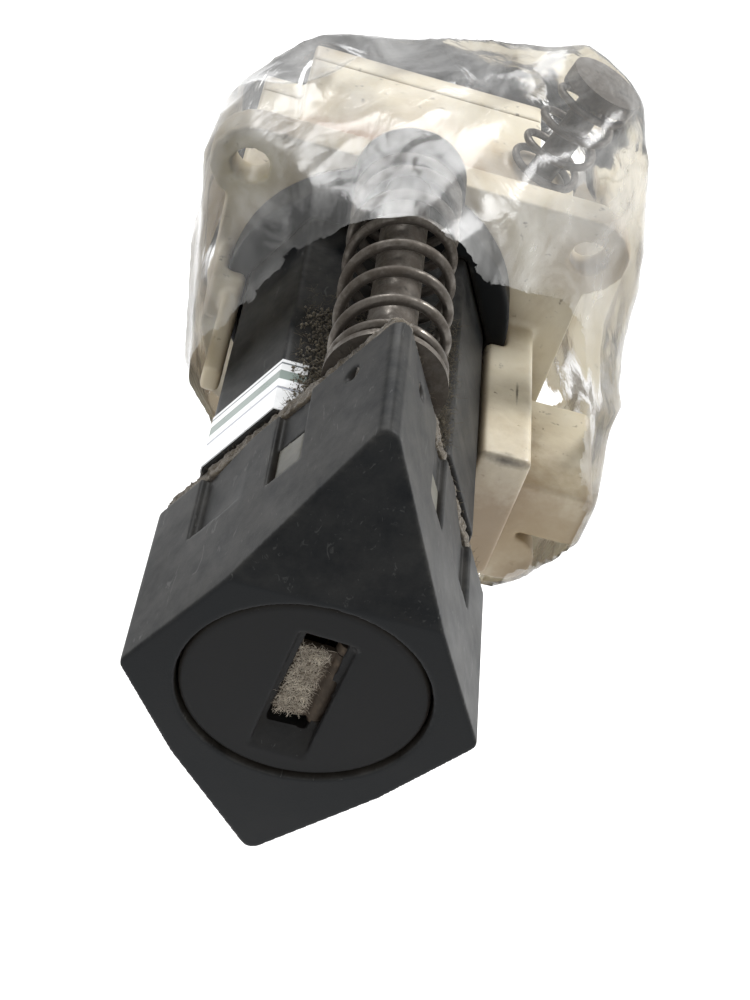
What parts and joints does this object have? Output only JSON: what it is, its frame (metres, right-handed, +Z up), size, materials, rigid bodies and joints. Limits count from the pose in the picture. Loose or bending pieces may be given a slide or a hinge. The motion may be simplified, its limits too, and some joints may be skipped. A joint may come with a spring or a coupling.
{
  "type": "selector key switch",
  "caption": "Push-and-turn key switch: kite-shaped black head with a keyed round face, sprung barrel, cream flanged frame and a rear contact section with blade terminals.",
  "frame": {"origin": "midway between the two ear holes, on the front face of the frame's flange; the key axis lies 2.4 mm to the left of it and 12.6 mm below it", "axes": "+Y runs back along the key axis, away from the person who turns the key; +X is that person's right; +Z is up, towards the kite's top corner"},
  "size_m": [0.0417, 0.08, 0.0444],
  "materials": {
    "black_plastic": "satin, scuffed",
    "black_internal": "matt",
    "cream_plastic": "aged, matt",
    "felt": "felt, dusty",
    "steel": "dull, dirty",
    "zinc": "die cast",
    "brass": "plain",
    "copper": "tinned copper",
    "shutter": "browned",
    "paper": "glossy paper",
    "phenolic": "phenolic board"
  },
  "bodies": {
    "housing": {"frame": "cream_plastic", "side_clip": "cream_plastic", "guide_collar": "black_plastic", "contact_plate": "phenolic", "fixed_contacts": "copper", "terminals": "copper", "push_contacts": "copper", "rear_cover": "cream_plastic", "connector_shroud": "black_internal", "cover_screws": "steel", "return_spring": "steel", "carriage_spring": "steel", "push_spring": "steel"},
    "head": {"head_cap": "black_plastic", "lock_carrier": "cream_plastic", "rear_gasket": "felt", "cross_pin": "steel", "guide_rod": "steel", "spring_washer": "steel", "rod_clip": "steel", "barrel": "black_plastic", "blank_label": "paper", "lock_sleeve": "zinc"},
    "plug": {"key_plug": "black_plastic", "wafers": "brass", "wafer_springs": "steel", "plug_clip": "steel", "drive_tail": "steel", "shutter_pin": "steel", "shutter_spring": "steel"},
    "shutter": {"slot_shutter": "shutter"},
    "rotor": {"rotor": "black_internal"},
    "carriage": {"rack_carriage": "black_internal", "carriage_plunger": "steel", "moving_contacts": "copper"},
    "push_contact": {"push_slider": "black_internal", "push_bridge": "copper"}
  },
  "joints": [
    {"name": "head_push", "type": "slide", "parent": "housing", "child": "head", "axis": [0, 1, 0], "range_m": [0, 0.006], "stiffness_N_per_m": 600, "springref_m": -0.004, "deforming": ["return_spring"]},
    {"name": "key_turn", "type": "hinge", "parent": "head", "child": "plug", "pos_m": [-0.0024, -0.03, -0.0126], "axis": [0, 1, 0], "range_deg": [0, 45]},
    {"name": "shutter_swing", "type": "hinge", "parent": "plug", "child": "shutter", "pos_m": [-0.0006, -0.0465, -0.01273], "axis": [-0.0698, 0, -0.9976], "range_deg": [0, 80], "stiffness_Nm_per_rad": 0.00002, "springref_deg": -17.19},
    {"name": "rotor_turn", "type": "hinge", "parent": "housing", "child": "rotor", "pos_m": [-0.0024, 0.012, -0.0126], "axis": [0, 1, 0], "range_deg": [0, 45]},
    {"name": "carriage_slide", "type": "slide", "parent": "housing", "child": "carriage", "axis": [-0.2588, 0, -0.9659], "range_m": [0, 0.00628], "deforming": ["carriage_spring"]},
    {"name": "push_contact_slide", "type": "slide", "parent": "housing", "child": "push_contact", "axis": [0, 1, 0], "range_m": [0, 0.006], "deforming": ["push_spring"]}
  ],
  "couplings": [
    {"joint": "rotor_turn", "follows": "key_turn", "ratio": 1},
    {"joint": "carriage_slide", "follows": "key_turn", "m_per_rad": 0.008},
    {"joint": "push_contact_slide", "follows": "head_push", "ratio": 1}
  ]
}
